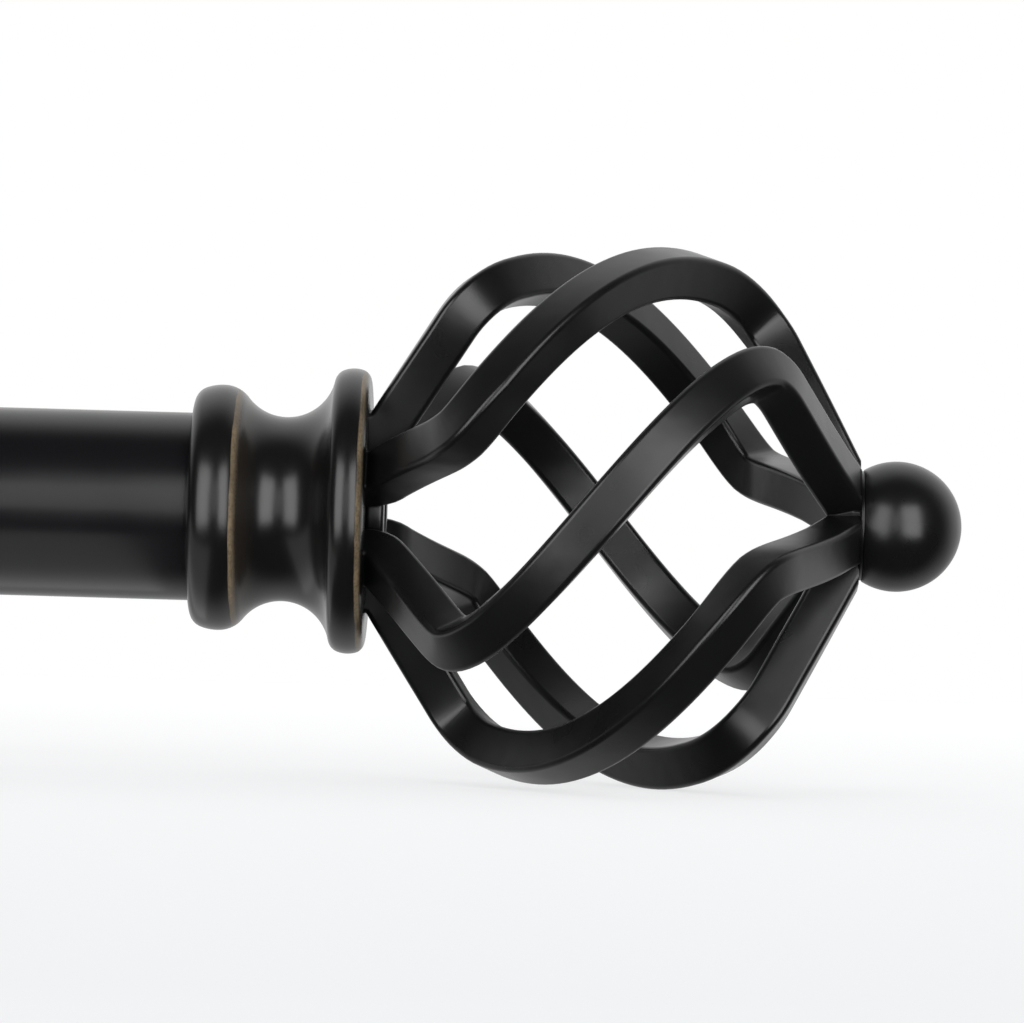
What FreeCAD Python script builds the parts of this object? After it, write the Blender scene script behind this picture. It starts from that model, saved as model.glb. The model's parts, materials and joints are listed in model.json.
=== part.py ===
"""Telescoping curtain rod, 28 to 48 inch, with a twisted-basket finial at each end and two wall brackets.

Millimetres. X runs along the rod, towards the finial on the right. Z is up. The wall is on the +Y side.
The origin is on the rod's axis, midway between the two collars with the rod closed.
"""
import FreeCAD
import Part
import Sketcher
import os
from math import cos, hypot, pi, radians, sin, sqrt

SIZES = (
    # the whole assembly
    ("collar_face", "355.6", "rod centre to a collar's inner face, rod closed: half of 28 in"),
    ("reach", "89", "wall to rod axis, arms pushed in: 3.5 in"),
    ("bracket_place", "=collar_face - 100", "rod centre to each bracket"),
    # tubes
    ("tube_od", "25.4", "outer tube, 1 in"),
    ("tube_wall", "0.8", "both tubes"),
    ("inner_od", "=tube_od - 3.2", "inner tube, 7/8 in"),
    ("tube_grip", "6", "length of tube inside a collar"),
    ("outer_left", "=15.6 - collar_face", "left end of the outer tube"),
    ("inner_right", "=collar_face - 27.6", "right end of the inner tube, rod closed"),
    ("slide_gap", "0.1", "radial clearance of the telescoping rings"),
    ("plug_gap", "0.05", "radial gap between a plastic plug and its tube"),
    ("ring_lip", "3", "length of a bush's flange"),
    ("ring_spigot", "10", "length of a bush's spigot"),
    ("plug_length", "20", "plastic plug in a tube's end"),
    ("insert_length", "16", "brass threaded insert in the plug"),
    ("insert_od", "=stud_od + 3", ""),
    # finial stud, an M8 thread drawn plain
    ("stud_od", "8", "M8"),
    ("stud_in", "6", "stud past the collar's inner face, into the rod"),
    ("stud_end", "25.6", "outer end of the stud, inside the hub disc"),
    ("thread_gap", "0.05", "radial clearance of a turning thread"),
    # collar, turned profile; positions are measured from its inner face
    ("collar_length", "23.65", ""),
    ("bead_od", "=tube_od + 7.8", "bead beside the rod"),
    ("bead_edge", "2.2", "rounding of its edge beside the rod"),
    ("bead_round", "6.4", "radius across it"),
    ("bead_drop", "4.1", "rounding where it drops to the hollow"),
    ("cove_od", "=tube_od - 0.48", "narrowest part of the hollow"),
    ("cove_round", "6.65", "radius of the hollow"),
    ("crown_od", "=tube_od + 13.2", "larger bead beside the basket"),
    ("crown_rise", "1.8", "rounding where the hollow rises to it"),
    ("crown_round", "4", "radius across it"),
    ("edge_lean", "21", "degrees, slope where both beads' inner edges begin"),
    ("bead_lean", "4", "degrees, slope where the bead begins to drop"),
    ("crown_lean", "15", "degrees, slope where the larger bead's rim begins"),
    ("mouth_gap", "0.3", "collar mouth round the tube, and beyond its end"),
    ("cavity_od", "=washer_od + 3", "space for the nut"),
    ("web_x", "13.8", "inner face of the web the nut pulls on"),
    ("web_hole", "=stud_od + 0.4", ""),
    ("washer_od", "=2 * stud_od", ""),
    ("washer_thick", "1.6", ""),
    ("nut_flats", "=stud_od + 5", "M8 nut across flats"),
    ("nut_thick", "4", "thin nut"),
    # basket
    ("bar_side", "6", "square bar"),
    ("bar_round", "0.7", "rounding of the bar's edges"),
    ("bar_count", "6", ""),
    ("hub_thick", "2.4", "hub disc"),
    ("hub_line", "10.6", "radius of the bars' centre lines at the hub"),
    ("basket_x", "56.5", "widest place, from the collar's inner face"),
    ("belly", "34.5", "radius of the centre lines at the widest place"),
    ("belly_arc", "38", "lengthwise radius of the belly"),
    ("belly_left", "23", "degrees of belly arc towards the hub"),
    ("belly_right", "20", "degrees of belly arc towards the ball"),
    ("shoulder_left", "14.5", "bending radius of the hub-side shoulder"),
    ("shoulder_right", "17", "bending radius of the ball-side shoulder"),
    ("flank_left", "58", "degrees, slope of the hub-side flank"),
    ("flank_right", "63", "degrees, slope of the ball-side flank"),
    ("hub_bend", "3.2", "bending radius beside the hub"),
    ("twist_half", "43.5", "degrees a bar turns round the axis on each side of the belly"),
    ("twist_reach", "21.5", "length of bar over which it turns, each side"),
    ("twist_crisp", "12", "how sharply the turning stops; higher is sharper"),
    ("lean_back", "0.25", "degrees per mm the flanks turn back"),
    ("bar_phase", "3.5", "degrees, where the first bar crosses the belly"),
    ("basket_end", "90.05", "the bars end here, against the neck"),
    ("neck_thick", "0.5", "thin disc; only a dark line shows beside the ball"),
    ("neck_od", "13.6", ""),
    ("ball_od", "17.6", ""),
    ("ball_x", "95.05", "ball's centre, from the collar's inner face"),
    # bracket
    ("plate_width", "24", "wall plate"),
    ("plate_height", "72", ""),
    ("plate_thick", "3", ""),
    ("hole_place", "26", "screw holes above and below the rod's height"),
    ("hole_od", "=screw_od + 2.5", ""),
    ("arm_od", "12", "sliding arm"),
    ("arm_gap", "0.08", "radial clearance of the arm in its sleeve"),
    ("arm_back", "=reach - 7", "rear end of the arm"),
    ("sleeve_od", "=arm_od + 4", ""),
    ("sleeve_front", "28", "mouth of the sleeve"),
    ("cradle_gap", "0.3", "between cradle and rod"),
    ("cradle_wall", "3", ""),
    ("cradle_width", "16", "along the rod"),
    ("cradle_top", "5", "the cradle's open top, above the rod's axis"),
    ("boss_od", "=lock_od + 5", "thread boss"),
    ("boss_long", "3.5", "boss below the wall it stands on"),
    ("lock_od", "4", "M4 thumbscrew, thread drawn plain"),
    ("lock_gap", "0.3", "between a thumbscrew's tip and what it locks, backed off"),
    ("lock_thread_gap", "0.05", ""),
    ("lock_long", "17", "tip to the outer end of the thumbscrew's stud"),
    ("arm_lock_place", "36", "thumbscrew under the sleeve"),
    ("grip_od", "11", "thumbscrew grip, across corners"),
    ("grip_long", "7", ""),
    ("screw_od", "3.5", "wall screw"),
    ("screw_long", "28", "under the head"),
    ("head_od", "=2 * screw_od", ""),
    ("head_thick", "2.2", ""),
    ("slot_width", "0.9", ""),
    # worked out from the sizes above
    ("outer_bore", "=tube_od - 2 * tube_wall", ""),
    ("inner_bore", "=inner_od - 2 * tube_wall", ""),
    ("tube_r", "=tube_od / 2", ""),
    ("stud_bore", "=stud_od / 2 + thread_gap", ""),
    ("hub_r", "=hub_line - bar_side / 2", "the bars' inner faces stand on the hub disc's rim"),
    ("zero", "0", ""),
    ("mouth_r", "=tube_r + mouth_gap", ""),
    ("seat_x", "=tube_grip + mouth_gap", ""),
    ("cavity_r", "=cavity_od / 2", ""),
    ("web_hole_r", "=web_hole / 2", ""),
    ("bead_r", "=bead_od / 2", ""),
    ("bead_turn_x", "=bead_edge * (1 - sin(edge_lean))", "the bead's edge meets its crown"),
    ("bead_turn_r", "=bead_r - bead_round * (1 - cos(edge_lean))", ""),
    ("bead_face_r", "=bead_turn_r - bead_edge * cos(edge_lean)", ""),
    ("bead_end_x", "=bead_turn_x + bead_round * (sin(edge_lean) + sin(bead_lean))", "it begins to drop"),
    ("bead_end_r", "=bead_r - bead_round * (1 - cos(bead_lean))", ""),
    ("cove_centre_r", "=cove_od / 2 + cove_round", ""),
    ("dip", "=(cove_centre_r - bead_end_r + bead_drop * cos(bead_lean)) / (bead_drop + cove_round)",
     "cosine of the slope where the drop meets the hollow"),
    ("dip_x", "=bead_end_x + bead_drop * (sqrt(1 - dip ^ 2) - sin(bead_lean))", ""),
    ("dip_r", "=bead_end_r - bead_drop * (cos(bead_lean) - dip)", ""),
    ("cove_x", "=dip_x + cove_round * sqrt(1 - dip ^ 2)", "the hollow's narrowest place"),
    ("crown_r", "=crown_od / 2", ""),
    ("crown_turn_r", "=crown_r - crown_round * (1 - cos(edge_lean))", ""),
    ("rise", "=(cove_centre_r - crown_turn_r + crown_rise * cos(edge_lean)) / (crown_rise + cove_round)",
     "cosine of the slope where the hollow meets the rise"),
    ("rise_x", "=cove_x + cove_round * sqrt(1 - rise ^ 2)", ""),
    ("rise_r", "=cove_od / 2 + cove_round * (1 - rise)", ""),
    ("crown_turn_x", "=rise_x + crown_rise * (sqrt(1 - rise ^ 2) - sin(edge_lean))", ""),
    ("crown_end_x", "=crown_turn_x + crown_round * (sin(edge_lean) + sin(crown_lean))", "its rim begins"),
    ("crown_end_r", "=crown_r - crown_round * (1 - cos(crown_lean))", ""),
    ("crown_rim", "=(collar_length - crown_end_x) / (1 - sin(crown_lean))", "rounding of the rim"),
    ("crown_face_r", "=crown_end_r - crown_rim * cos(crown_lean)", ""),
    ("neck_end", "=basket_end + neck_thick", "the neck's outer face, where the ball is cut flat"),
    ("ball_r", "=ball_od / 2", ""),
    ("ball_tip", "=ball_x + ball_r", ""),
    ("ball_flat_r", "=sqrt(ball_r ^ 2 - (ball_x - neck_end) ^ 2)", ""),
    ("plate_front", "=reach - plate_thick", ""),
    ("cradle_in", "=tube_r + cradle_gap", ""),
    ("cradle_out", "=cradle_in + cradle_wall", ""),
)

doc = FreeCAD.newDocument("curtain_rod")
sheet = doc.addObject("Spreadsheet::Sheet", "sizes")
for row, (name, value, note) in enumerate(SIZES, start=1):
    sheet.set("A%d" % row, name)
    sheet.setAlias("B%d" % row, name)
    sheet.set("C%d" % row, note)
for row, (name, value, note) in enumerate(SIZES, start=1):
    sheet.set("B%d" % row, value)
doc.recompute()

X_WAY = {
    "+X": ((0, 1, 0), 90),
    "-X": ((0, 1, 0), -90),
    "+Y": ((1, 0, 0), -90),
    "-Z": ((1, 0, 0), 180),
    "+Z": ((0, 0, 1), 0),
}
SIDES = (("right", 1), ("left", -1))
pieces = []


def size(name):
    """A size as a number, for geometry that is worked out point by point."""
    return float(sheet.get(name))


def keep(shape, label):
    """Name a finished piece and mark it for export."""
    shape.Label = label
    pieces.append(shape)
    return shape


def place(thing, at, turn):
    """Turn a thing, then let formulas hold its position."""
    axis, angle = turn
    thing.Placement = FreeCAD.Placement(FreeCAD.Vector(), FreeCAD.Rotation(FreeCAD.Vector(*axis), angle))
    for letter, formula in zip("xyz", at):
        thing.setExpression("Placement.Base." + letter, formula)
    return thing


def rod(name, radius, length, at, way):
    """A plain cylinder starting at a point and running one way."""
    solid = doc.addObject("Part::Cylinder", name)
    solid.setExpression("Radius", radius)
    solid.setExpression("Height", length)
    return place(solid, at, X_WAY[way])


def box(name, lengths, at):
    """A box with its lowest corner at a point."""
    solid = doc.addObject("Part::Box", name)
    for side, formula in zip(("Length", "Width", "Height"), lengths):
        solid.setExpression(side, formula)
    return place(solid, at, X_WAY["+Z"])


def less(name, base, *tools):
    """A solid with others cut out of it, one after another."""
    for number, tool in enumerate(tools, start=1):
        result = doc.addObject("Part::Cut", "%s_less%d" % (name, number))
        result.Base = base
        result.Tool = tool
        base = result
    return base


def joined(name, *solids):
    """Several solids joined into one."""
    result = doc.addObject("Part::MultiFuse", name)
    result.Shapes = list(solids)
    return result


def tube(name, outer, inner, length, at, way):
    """A ring or tube: a cylinder with a bore right through."""
    body = rod(name + "_body", outer, length, at, way)
    return less(name, body, rod(name + "_bore", inner, length, at, way))


def along(sign, formula):
    """The X of a place that many millimetres beyond a collar's inner face, on the side given."""
    return "%d * (sizes.collar_face + %s)" % (sign, formula)


def turned(name, outline, at, turn):
    """A body revolved round its own X axis.

    The outline lists (x, r) size names, in order round it. A third item, (radius name, side), makes
    the edge that arrives there an arc: side +1 swells to the left of the way it runs, -1 to the right.
    """
    body = doc.addObject("PartDesign::Body", name)
    plane = [o for o in body.Origin.OriginFeatures if o.Role == "XY_Plane"][0]
    sketch = body.newObject("Sketcher::SketchObject", name + "_outline")
    sketch.AttachmentSupport = [(plane, "")]
    sketch.MapMode = "FlatFace"
    spots = [FreeCAD.Vector(size(point[0]), size(point[1]), 0) for point in outline]
    ends = []
    for number, point in enumerate(outline):
        start, end = spots[number - 1], spots[number]
        if len(point) > 2:
            radius, side = size(point[2][0]), point[2][1]
            chord = end - start
            rise = radius - sqrt(max(radius ** 2 - (chord.Length / 2) ** 2, 0))
            left = FreeCAD.Vector(-chord.y, chord.x, 0).normalize()
            middle = (start + end) * 0.5 + left * (side * rise)
            index = sketch.addGeometry(Part.Arc(start, middle, end), False)
        else:
            index = sketch.addGeometry(Part.LineSegment(start, end), False)
        first_is_start = sketch.getPoint(index, 1).distanceToPoint(start) < 1e-6
        ends.append((index, 1 if first_is_start else 2, 2 if first_is_start else 1))
    for number, (index, first, last) in enumerate(ends):
        following = ends[(number + 1) % len(ends)]
        sketch.addConstraint(Sketcher.Constraint("Coincident", index, last, following[0], following[1]))
    for number, point in enumerate(outline):
        index, first, last = ends[number]
        for kind, letter, value in (("DistanceX", "x", point[0]), ("DistanceY", "r", point[1])):
            rule = sketch.addConstraint(Sketcher.Constraint(kind, -1, 1, index, last, size(value)))
            sketch.renameConstraint(rule, "%s%d" % (letter, number))
            sketch.setExpression("Constraints.%s%d" % (letter, number), "sizes." + value)
        if len(point) > 2:
            rule = sketch.addConstraint(Sketcher.Constraint("Radius", index, size(point[2][0])))
            sketch.renameConstraint(rule, "round%d" % number)
            sketch.setExpression("Constraints.round%d" % number, "sizes." + point[2][0])
    spun = body.newObject("PartDesign::Revolution", name + "_turned")
    spun.Profile = sketch
    spun.ReferenceAxis = (sketch, ["H_Axis"])
    spun.Angle = 360
    body.Tip = spun
    return place(body, at, turn)


COLLAR = (
    ("zero", "mouth_r"),
    ("zero", "bead_face_r"),
    ("bead_turn_x", "bead_turn_r", ("bead_edge", 1)),
    ("bead_end_x", "bead_end_r", ("bead_round", 1)),
    ("dip_x", "dip_r", ("bead_drop", 1)),
    ("rise_x", "rise_r", ("cove_round", -1)),
    ("crown_turn_x", "crown_turn_r", ("crown_rise", 1)),
    ("crown_end_x", "crown_end_r", ("crown_round", 1)),
    ("collar_length", "crown_face_r", ("crown_rim", 1)),
    ("collar_length", "web_hole_r"),
    ("web_x", "web_hole_r"),
    ("web_x", "cavity_r"),
    ("seat_x", "cavity_r"),
    ("seat_x", "mouth_r"),
)

BALL = (
    ("neck_end", "zero"),
    ("neck_end", "ball_flat_r"),
    ("ball_x", "ball_r", ("ball_r", 1)),
    ("ball_tip", "zero", ("ball_r", 1)),
)


def bar_line():
    """Points (x, r, angle) along one bar's centre line, from the hub to past the neck.

    Seen along the meridian it is a stub, a bend, a straight flank, a shoulder, the belly, a shoulder and
    a straight flank. Round the axis it turns steadily across the belly and hardly at all on the flanks.
    """
    flank_in, flank_out = radians(size("flank_left")), radians(size("flank_right"))
    left, right = radians(size("belly_left")), radians(size("belly_right"))
    belly, near, far = size("belly_arc"), size("shoulder_left"), size("shoulder_right")
    bend = size("hub_bend")
    shoulder_drop = belly * (1 - cos(left)) + near * (cos(left) - cos(flank_in))
    climb = size("belly") - size("hub_line") - shoulder_drop - bend * (1 - cos(flank_in))
    flank = climb / sin(flank_in)
    run = belly * sin(left) + near * (sin(flank_in) - sin(left))
    run += flank * cos(flank_in) + bend * sin(flank_in)
    stub = size("basket_x") - size("collar_length") - run
    if stub < 0 or flank < 0:
        raise ValueError("the basket is too short for its bends")
    legs = (
        (stub, 0),
        (bend * flank_in, flank_in),
        (flank, 0),
        (near * (flank_in - left), left - flank_in),
        (belly * left, -left),
        (belly * right, -right),
        (far * (flank_out - right), right - flank_out),
        (34, 0),
    )
    crown_at = stub + sum(length for length, turn in legs[1:5])
    reach, crisp = size("twist_reach"), size("twist_crisp")
    x, r, heading, gone = size("collar_length"), size("hub_line"), 0.0, 0.0
    points = []
    for length, turn in legs:
        steps = max(1, round(length / 1.5))
        for step in range(steps):
            along_crown = (gone - crown_at) / reach
            angle = size("twist_half") * along_crown / (1 + abs(along_crown) ** crisp) ** (1 / crisp)
            past = max(abs(gone - crown_at) - reach, 0)
            angle -= size("lean_back") * min(past, 18) * (1 if gone > crown_at else -1)
            if not points or hypot(x - points[-1][0], r - points[-1][1]) > 0.5:
                points.append((x, r, radians(angle)))
            middle = heading + turn / steps / 2
            piece = length / steps
            if turn:
                piece *= 2 * sin(abs(turn) / steps / 2) / (abs(turn) / steps)
            x += piece * cos(middle)
            r += piece * sin(middle)
            heading += turn / steps
            gone += length / steps
            if x > size("basket_end") + size("bar_side"):
                return points
    return points


def bar_section(centre, ahead, outward, width, edge):
    """A square wire with rounded corners, at right angles to the way ahead."""
    across = ahead.cross(outward).normalize()
    out = across.cross(ahead).normalize()
    half = width / 2
    flat = half - edge
    sag = edge * (1 - sqrt(0.5))
    edges = []
    for quarter in range(4):
        u = (across, out, across * -1, out * -1)[quarter]
        v = (out, across * -1, out * -1, across)[quarter]
        edges.append(Part.LineSegment(centre + u * half - v * flat, centre + u * half + v * flat).toShape())
        edges.append(
            Part.Arc(
                centre + u * half + v * flat,
                centre + (u + v) * (half - sag),
                centre + u * flat + v * half,
            ).toShape()
        )
    return Part.Wire(edges)


def basket_bar():
    """The first bar: lofted through its sections, mitred where six bars meet, cut flat at the neck."""
    line = bar_line()
    phase = radians(size("bar_phase"))
    spots = [FreeCAD.Vector(x, -r * cos(a + phase), r * sin(a + phase)) for x, r, a in line]
    wires = []
    for number, (spot, (x, r, a)) in enumerate(zip(spots, line)):
        before, after = max(number - 1, 0), min(number + 1, len(line) - 1)
        ahead = (spots[after] - spots[before]).normalize()
        slope = (line[after][1] - line[before][1], line[after][0] - line[before][0])
        outward = FreeCAD.Vector(-slope[0], -slope[1] * cos(a + phase), slope[1] * sin(a + phase))
        if number == 0:
            ahead = FreeCAD.Vector(1, 0, 0)
            outward = FreeCAD.Vector(0, -cos(a + phase), sin(a + phase))
        wires.append(bar_section(spot, ahead, outward, size("bar_side"), size("bar_round")))
    bar = Part.makeLoft(wires, True, False)
    end = size("basket_end")
    keep_x = Part.makeCylinder(80, end - size("collar_length"), FreeCAD.Vector(size("collar_length"), 0, 0),
                               FreeCAD.Vector(1, 0, 0))
    bar = bar.common(keep_x)
    end_angle = [a for x, r, a in line if x < end][-1] + phase
    start = size("basket_x") + 20
    half_share = pi / size("bar_count")
    corners = [FreeCAD.Vector(start, 0, 0)]
    for step in (-1, 0, 1):
        a = end_angle + step * half_share
        corners.append(FreeCAD.Vector(start, -60 * cos(a), 60 * sin(a)))
    corners.append(corners[0])
    share = Part.Face(Part.makePolygon(corners)).extrude(FreeCAD.Vector(end - start, 0, 0))
    near_end = Part.makeCylinder(60, end - start, FreeCAD.Vector(start, 0, 0), FreeCAD.Vector(1, 0, 0))
    return bar.cut(near_end.cut(share)).Solids[0], end_angle


first_bar, bar_end_angle = basket_bar()


def finial(side, sign):
    """One end's screw-on finial: collar, washer and nut, stud, hub disc, six bars, neck and ball."""
    end = "_" + side
    way = "+X" if sign > 0 else "-X"
    turn = ((0, 0, 1), 0 if sign > 0 else 180)
    face = (along(sign, "0"), "0", "0")

    keep(turned("collar" + end, COLLAR, face, turn), "collar" + end)
    at = (along(sign, "sizes.web_x - sizes.washer_thick"), "0", "0")
    washer = tube("washer" + end, "sizes.washer_od / 2", "sizes.stud_bore", "sizes.washer_thick", at, way)
    keep(washer, "washer" + end)

    at = (along(sign, "sizes.web_x - sizes.washer_thick - sizes.nut_thick"), "0", "0")
    hexagon = doc.addObject("Part::Prism", "nut_body" + end)
    hexagon.Polygon = 6
    hexagon.setExpression("Circumradius", "sizes.nut_flats / 2 / cos(30 deg)")
    hexagon.setExpression("Height", "sizes.nut_thick")
    place(hexagon, at, X_WAY[way])
    thread = rod("nut_thread" + end, "sizes.stud_bore", "sizes.nut_thick", at, way)
    keep(less("nut" + end, hexagon, thread), "nut" + end)

    at = (along(sign, "-sizes.stud_in"), "0", "0")
    stud = rod("stud" + end, "sizes.stud_od / 2", "sizes.stud_end + sizes.stud_in", at, way)
    keep(stud, "stud" + end)

    at = (along(sign, "sizes.collar_length"), "0", "0")
    hub = tube("hub_disc" + end, "sizes.hub_r", "sizes.stud_bore", "sizes.hub_thick", at, way)
    keep(hub, "hub_disc" + end)

    # the bars' bent and twisted sweep has no Part or PartDesign feature, so their shape is computed
    for number in range(int(size("bar_count"))):
        bar = doc.addObject("Part::Feature", "cage_bar_%d%s" % (number + 1, end))
        bar.Shape = first_bar.copy()
        spin = FreeCAD.Rotation(FreeCAD.Vector(1, 0, 0), -360.0 / size("bar_count") * number)
        side_turn = FreeCAD.Rotation(FreeCAD.Vector(*turn[0]), turn[1])
        bar.Placement = FreeCAD.Placement(FreeCAD.Vector(), side_turn.multiply(spin))
        bar.setExpression("Placement.Base.x", face[0])
        keep(bar, "cage_bar_%d%s" % (number + 1, end))

    at = (along(sign, "sizes.basket_end"), "0", "0")
    neck = rod("ball_neck" + end, "sizes.neck_od / 2", "sizes.neck_thick", at, way)
    keep(neck, "ball_neck" + end)
    keep(turned("ball" + end, BALL, face, turn), "ball" + end)


def rod_end(side, sign, bore):
    """A plastic plug and its brass threaded insert, flush with the end of a tube."""
    end = "_" + side
    way = "-X" if sign > 0 else "+X"
    at = (along(sign, "sizes.tube_grip"), "0", "0")
    plug = tube("plug" + end, "%s / 2 - sizes.plug_gap" % bore, "sizes.insert_od / 2", "sizes.plug_length",
                at, way)
    keep(plug, "plug" + end)
    insert = tube("insert" + end, "sizes.insert_od / 2", "sizes.stud_bore", "sizes.insert_length", at, way)
    keep(insert, "insert" + end)


def telescoping_rod():
    """Outer and inner tube, the ring in the outer tube's mouth, the glide, and the left spacer ring."""
    at = ("sizes.outer_left", "0", "0")
    outer_long = "sizes.collar_face + sizes.tube_grip - sizes.outer_left"
    keep(tube("outer_tube", "sizes.tube_r", "sizes.outer_bore / 2", outer_long, at, "+X"), "outer_tube")

    at = ("-sizes.collar_face - sizes.tube_grip", "0", "0")
    inner_long = "sizes.inner_right + sizes.collar_face + sizes.tube_grip"
    inner = tube("inner_tube", "sizes.inner_od / 2", "sizes.inner_bore / 2", inner_long, at, "+X")
    keep(inner, "inner_tube")

    lip_at = ("sizes.outer_left - sizes.ring_lip", "0", "0")
    lip = rod("mouth_lip", "sizes.tube_r", "sizes.ring_lip", lip_at, "+X")
    long_way = "sizes.ring_lip + sizes.ring_spigot"
    spigot = rod("mouth_spigot", "sizes.outer_bore / 2 - sizes.plug_gap", long_way, lip_at, "+X")
    bore = rod("mouth_bore", "sizes.inner_od / 2 + sizes.slide_gap", long_way, lip_at, "+X")
    keep(less("mouth_bush", joined("mouth_solid", lip, spigot), bore), "mouth_bush")

    lip_at = ("sizes.inner_right", "0", "0")
    lip = rod("glide_lip", "sizes.outer_bore / 2 - sizes.slide_gap", "sizes.ring_lip", lip_at, "+X")
    root = ("sizes.inner_right - sizes.ring_spigot", "0", "0")
    spigot = rod("glide_spigot", "sizes.inner_bore / 2 - sizes.plug_gap", long_way, root, "+X")
    bore = rod("glide_bore", "sizes.inner_bore / 2 - 2", long_way, root, "+X")
    keep(less("inner_glide", joined("glide_solid", lip, spigot), bore), "inner_glide")

    ring_at = (along(-1, "0.5"), "0", "0")
    spacer = tube("spacer_ring", "sizes.tube_r", "sizes.inner_od / 2 + sizes.plug_gap",
                  "sizes.tube_grip - 0.5", ring_at, "-X")
    keep(spacer, "spacer_ring")


def thumbscrew(name, x, y, tip):
    """A locking thumbscrew that points straight up: a stud and a twelve-sided grip on its lower end."""
    at = (x, y, tip)
    keep(rod(name + "_stud", "sizes.lock_od / 2", "sizes.lock_long", at, "-Z"), name + "_stud")
    at = (x, y, "%s - sizes.lock_long + sizes.grip_long - 2" % tip)
    grip = doc.addObject("Part::Prism", name + "_grip_body")
    grip.Polygon = 12
    grip.setExpression("Circumradius", "sizes.grip_od / 2")
    grip.setExpression("Height", "sizes.grip_long")
    place(grip, at, X_WAY["-Z"])
    hole = rod(name + "_grip_hole", "sizes.lock_od / 2 + sizes.lock_thread_gap",
               "sizes.grip_long - 2", at, "-Z")
    keep(less(name + "_knob", grip, hole), name + "_knob")


def bracket(side, sign):
    """One wall bracket: plate and sleeve, sliding arm and cradle, two thumbscrews and two wall screws."""
    end = "_" + side
    x = "%d * sizes.bracket_place" % sign
    half = "sizes.plate_width / 2"
    tall = "sizes.plate_height / 2 - %s" % half

    middle = box("plate_middle" + end, ("sizes.plate_width", "sizes.plate_thick", "2 * (%s)" % tall),
                 (x + " - " + half, "sizes.plate_front", "-(%s)" % tall))
    caps = [
        rod("plate_cap%s%s" % (name, end), half, "sizes.plate_thick", (x, "sizes.plate_front", z), "+Y")
        for name, z in (("_up", tall), ("_down", "-(%s)" % tall))
    ]
    holes = [
        rod("plate_hole%s%s" % (name, end), "sizes.hole_od / 2", "sizes.plate_thick",
            (x, "sizes.plate_front", z), "+Y")
        for name, z in (("_up", "sizes.hole_place"), ("_down", "-sizes.hole_place"))
    ]
    plate = less("wall_plate" + end, joined("plate_solid" + end, middle, *caps), *holes)
    keep(plate, "wall_plate" + end)

    at = (x, "sizes.sleeve_front", "0")
    long_way = "sizes.plate_front - sizes.sleeve_front"
    barrel = rod("sleeve_barrel" + end, "sizes.sleeve_od / 2", long_way, at, "+Y")
    boss = rod("sleeve_boss" + end, "sizes.boss_od / 2", "sizes.sleeve_od / 2 + sizes.boss_long",
               (x, "sizes.arm_lock_place", "0"), "-Z")
    bore = rod("sleeve_bore" + end, "sizes.arm_od / 2 + sizes.arm_gap", long_way, at, "+Y")
    tapped = rod("sleeve_tap" + end, "sizes.lock_od / 2 + sizes.lock_thread_gap", "sizes.sleeve_od",
                 (x, "sizes.arm_lock_place", "0"), "-Z")
    sleeve = less("sleeve" + end, joined("sleeve_solid" + end, barrel, boss), bore, tapped)
    keep(sleeve, "sleeve" + end)

    start = "sizes.cradle_in"
    arm = rod("arm_bar" + end, "sizes.arm_od / 2", "sizes.arm_back - " + start, (x, start, "0"), "+Y")
    left_edge = x + " - sizes.cradle_width / 2"
    cope = rod("arm_cope" + end, "sizes.cradle_out", "sizes.cradle_width", (left_edge, "0", "0"), "+X")
    flat = box("arm_flat" + end, ("sizes.cradle_width", "2 * sizes.cradle_out", "sizes.cradle_out"),
               (left_edge, "-sizes.cradle_out", "0"))
    keep(less("arm" + end, arm, cope, flat), "arm" + end)

    outside = rod("cradle_round" + end, "sizes.cradle_out", "sizes.cradle_width",
                  (left_edge, "0", "0"), "+X")
    walls = box("cradle_walls" + end, ("sizes.cradle_width", "2 * sizes.cradle_out", "sizes.cradle_top"),
                (left_edge, "-sizes.cradle_out", "0"))
    boss = rod("cradle_boss" + end, "sizes.boss_od / 2", "sizes.boss_long + 1.5",
               (x, "0", "-sizes.cradle_out + 1.5"), "-Z")
    seat = rod("cradle_seat" + end, "sizes.cradle_in", "sizes.cradle_width", (left_edge, "0", "0"), "+X")
    way_in = box("cradle_way_in" + end, ("sizes.cradle_width", "2 * sizes.cradle_in", "sizes.cradle_out"),
                 (left_edge, "-sizes.cradle_in", "0"))
    above = box("cradle_above" + end, ("sizes.cradle_width", "2 * sizes.cradle_out", "sizes.cradle_out"),
                (left_edge, "-sizes.cradle_out", "sizes.cradle_top"))
    tapped = rod("cradle_tap" + end, "sizes.lock_od / 2 + sizes.lock_thread_gap", "sizes.cradle_out",
                 (x, "0", "-sizes.tube_r"), "-Z")
    solid = joined("cradle_solid" + end, outside, walls, boss)
    cradle = less("cradle" + end, solid, seat, way_in, above, tapped)
    keep(cradle, "cradle" + end)

    thumbscrew("rod_lock" + end, x, "0", "-(sizes.tube_r + sizes.lock_gap)")
    thumbscrew("arm_lock" + end, x, "sizes.arm_lock_place", "-(sizes.arm_od / 2 + sizes.lock_gap)")

    for name, z in (("_upper", "sizes.hole_place"), ("_lower", "-sizes.hole_place")):
        label = "wall_screw" + name + end
        head = rod(label + "_head", "sizes.head_od / 2", "sizes.head_thick",
                   (x, "sizes.plate_front - sizes.head_thick", z), "+Y")
        shank = rod(label + "_shank", "sizes.screw_od / 2", "sizes.screw_long + 1",
                    (x, "sizes.plate_front - 1", z), "+Y")
        slot = box(label + "_slot", ("sizes.head_od", "1", "sizes.slot_width"),
                   (x + " - sizes.head_od / 2", "sizes.plate_front - sizes.head_thick",
                    z + " - sizes.slot_width / 2"))
        keep(less(label, joined(label + "_solid", head, shank), slot), label)


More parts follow.
